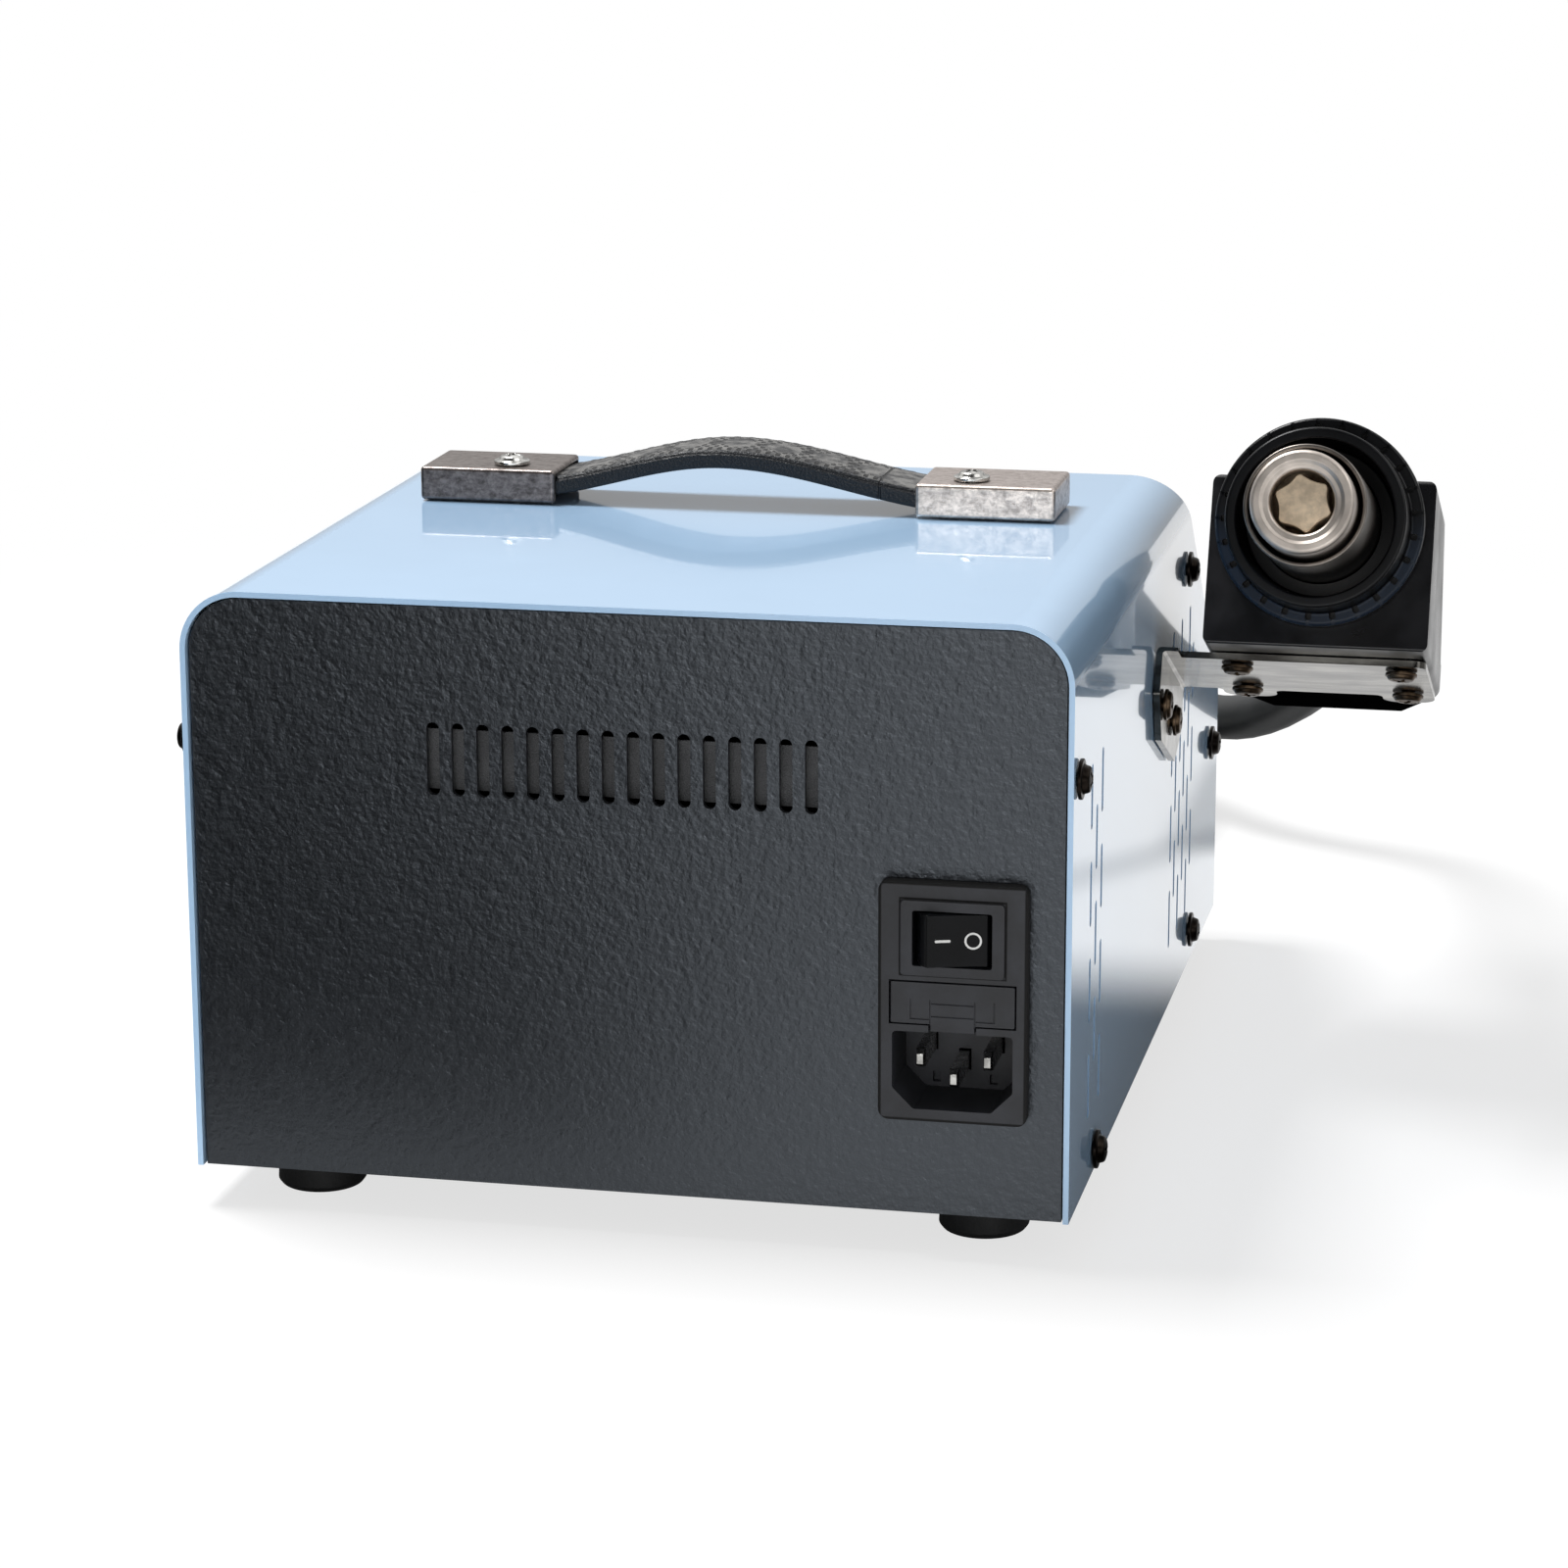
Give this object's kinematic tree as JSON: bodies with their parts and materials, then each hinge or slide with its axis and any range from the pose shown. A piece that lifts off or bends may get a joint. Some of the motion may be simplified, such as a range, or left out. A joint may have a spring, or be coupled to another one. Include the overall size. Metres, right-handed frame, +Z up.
{
  "type": "hot air rework station",
  "caption": "Bench-top hot air rework station: folded steel case with sloping console front, strap handle, rear mains inlet, and a hot air gun resting in a side cradle.",
  "frame": {"origin": "middle of the footprint of the station without its loose hose, on the surface that the feet stand on", "axes": "+Z up, the display front faces -Y, the mains inlet faces +Y, the gun lies on the -X side"},
  "size_m": [0.252, 0.4263, 0.1566],
  "materials": {
    "painted_cover": "glossy light blue paint",
    "black_sheet": "fine textured black powder coat",
    "black_plastic": "satin black",
    "foot_rubber": "matt black",
    "strap_rubber": "soft black with a pressed pattern",
    "hose_rubber": "smooth matt black",
    "cap_metal": "bare, mottled",
    "polished_steel": "polished",
    "heater_steel": "brushed, slightly warm from heat",
    "bright_steel": "bright plated",
    "blackened_steel": "blackened",
    "core_ceramic": "unglazed cream",
    "smoked_window": "smoked, glossy",
    "board_green": "solder mask",
    "transformer_steel": "varnished laminations and copper",
    "fuse_glass": "clear"
  },
  "bodies": {
    "station": {"top_cover": "painted_cover", "base_tray": "black_sheet", "rear_panel": "black_sheet", "front_panel": "black_sheet", "foot_rear_left": "foot_rubber", "foot_front_left": "foot_rubber", "foot_rear_right": "foot_rubber", "foot_front_right": "foot_rubber", "side_screw_left_1": "blackened_steel", "side_screw_left_2": "blackened_steel", "side_screw_left_3": "blackened_steel", "side_screw_left_4": "blackened_steel", "side_screw_left_5": "blackened_steel", "side_screw_right_1": "blackened_steel", "side_screw_right_2": "blackened_steel", "side_screw_right_3": "blackened_steel", "side_screw_right_4": "blackened_steel", "side_screw_right_5": "blackened_steel", "inlet_housing": "black_plastic", "pin_line": "bright_steel", "pin_neutral": "bright_steel", "pin_earth": "bright_steel", "handle_strap": "strap_rubber", "handle_cap_left": "cap_metal", "handle_screw_left": "bright_steel", "handle_cap_right": "cap_metal", "handle_screw_right": "bright_steel", "holder_bracket": "polished_steel", "bracket_screw_1": "blackened_steel", "bracket_screw_2": "blackened_steel", "cradle_screw_1": "blackened_steel", "cradle_screw_2": "blackened_steel", "cradle_screw_3": "blackened_steel", "cradle_screw_4": "blackened_steel", "gun_cradle": "black_plastic", "hose_gland": "black_sheet", "display_window": "smoked_window", "control_board": "board_green", "transformer": "transformer_steel", "blower_housing": "black_plastic", "air_duct": "hose_rubber", "hose_coil": "hose_rubber", "hose_run_gun": "hose_rubber", "hose_run_station": "hose_rubber"},
    "power_rocker": {"power_rocker": "black_plastic"},
    "fuse_drawer": {"fuse_drawer": "black_plastic", "fuse": "fuse_glass"},
    "blower_wheel": {"blower_wheel": "black_plastic"},
    "gun": {"gun_collar": "black_plastic", "gun_handle": "black_plastic", "heater_tube": "heater_steel", "nozzle": "heater_steel", "ceramic_core": "core_ceramic", "gun_boot": "hose_rubber"},
    "preset_button": {"preset_button": "black_plastic"},
    "heat_down_button": {"heat_down_button": "black_plastic"},
    "heat_up_button": {"heat_up_button": "black_plastic"},
    "air_down_button": {"air_down_button": "black_plastic"},
    "air_up_button": {"air_up_button": "black_plastic"}
  },
  "joints": [
    {"name": "power_rocker_tilt", "type": "hinge", "parent": "station", "child": "power_rocker", "pos_m": [-0.04077, 0.12987, 0.06925], "axis": [0, 0, -1], "range_deg": [0, 28]},
    {"name": "fuse_drawer_slide", "type": "slide", "parent": "station", "child": "fuse_drawer", "axis": [0, 1, 0], "range_m": [0, 0.014]},
    {"name": "blower_spin", "type": "hinge", "parent": "station", "child": "blower_wheel", "pos_m": [0.01112, -0.01913, 0.03], "axis": [0, 0, 1], "continuous": true},
    {"name": "gun_lift", "type": "slide", "parent": "station", "child": "gun", "axis": [0, -0.2807, 0.9598], "range_m": [0, 0.07]},
    {"name": "preset_button_press", "type": "slide", "parent": "station", "child": "preset_button", "axis": [0, 0.6549, -0.7557], "range_m": [0, 0.0008], "stiffness_N_per_m": 300, "springref_m": -0.0004},
    {"name": "heat_down_button_press", "type": "slide", "parent": "station", "child": "heat_down_button", "axis": [0, 0.6549, -0.7557], "range_m": [0, 0.0008], "stiffness_N_per_m": 300, "springref_m": -0.0004},
    {"name": "heat_up_button_press", "type": "slide", "parent": "station", "child": "heat_up_button", "axis": [0, 0.6549, -0.7557], "range_m": [0, 0.0008], "stiffness_N_per_m": 300, "springref_m": -0.0004},
    {"name": "air_down_button_press", "type": "slide", "parent": "station", "child": "air_down_button", "axis": [0, 0.6549, -0.7557], "range_m": [0, 0.0008], "stiffness_N_per_m": 300, "springref_m": -0.0004},
    {"name": "air_up_button_press", "type": "slide", "parent": "station", "child": "air_up_button", "axis": [0, 0.6549, -0.7557], "range_m": [0, 0.0008], "stiffness_N_per_m": 300, "springref_m": -0.0004}
  ]
}
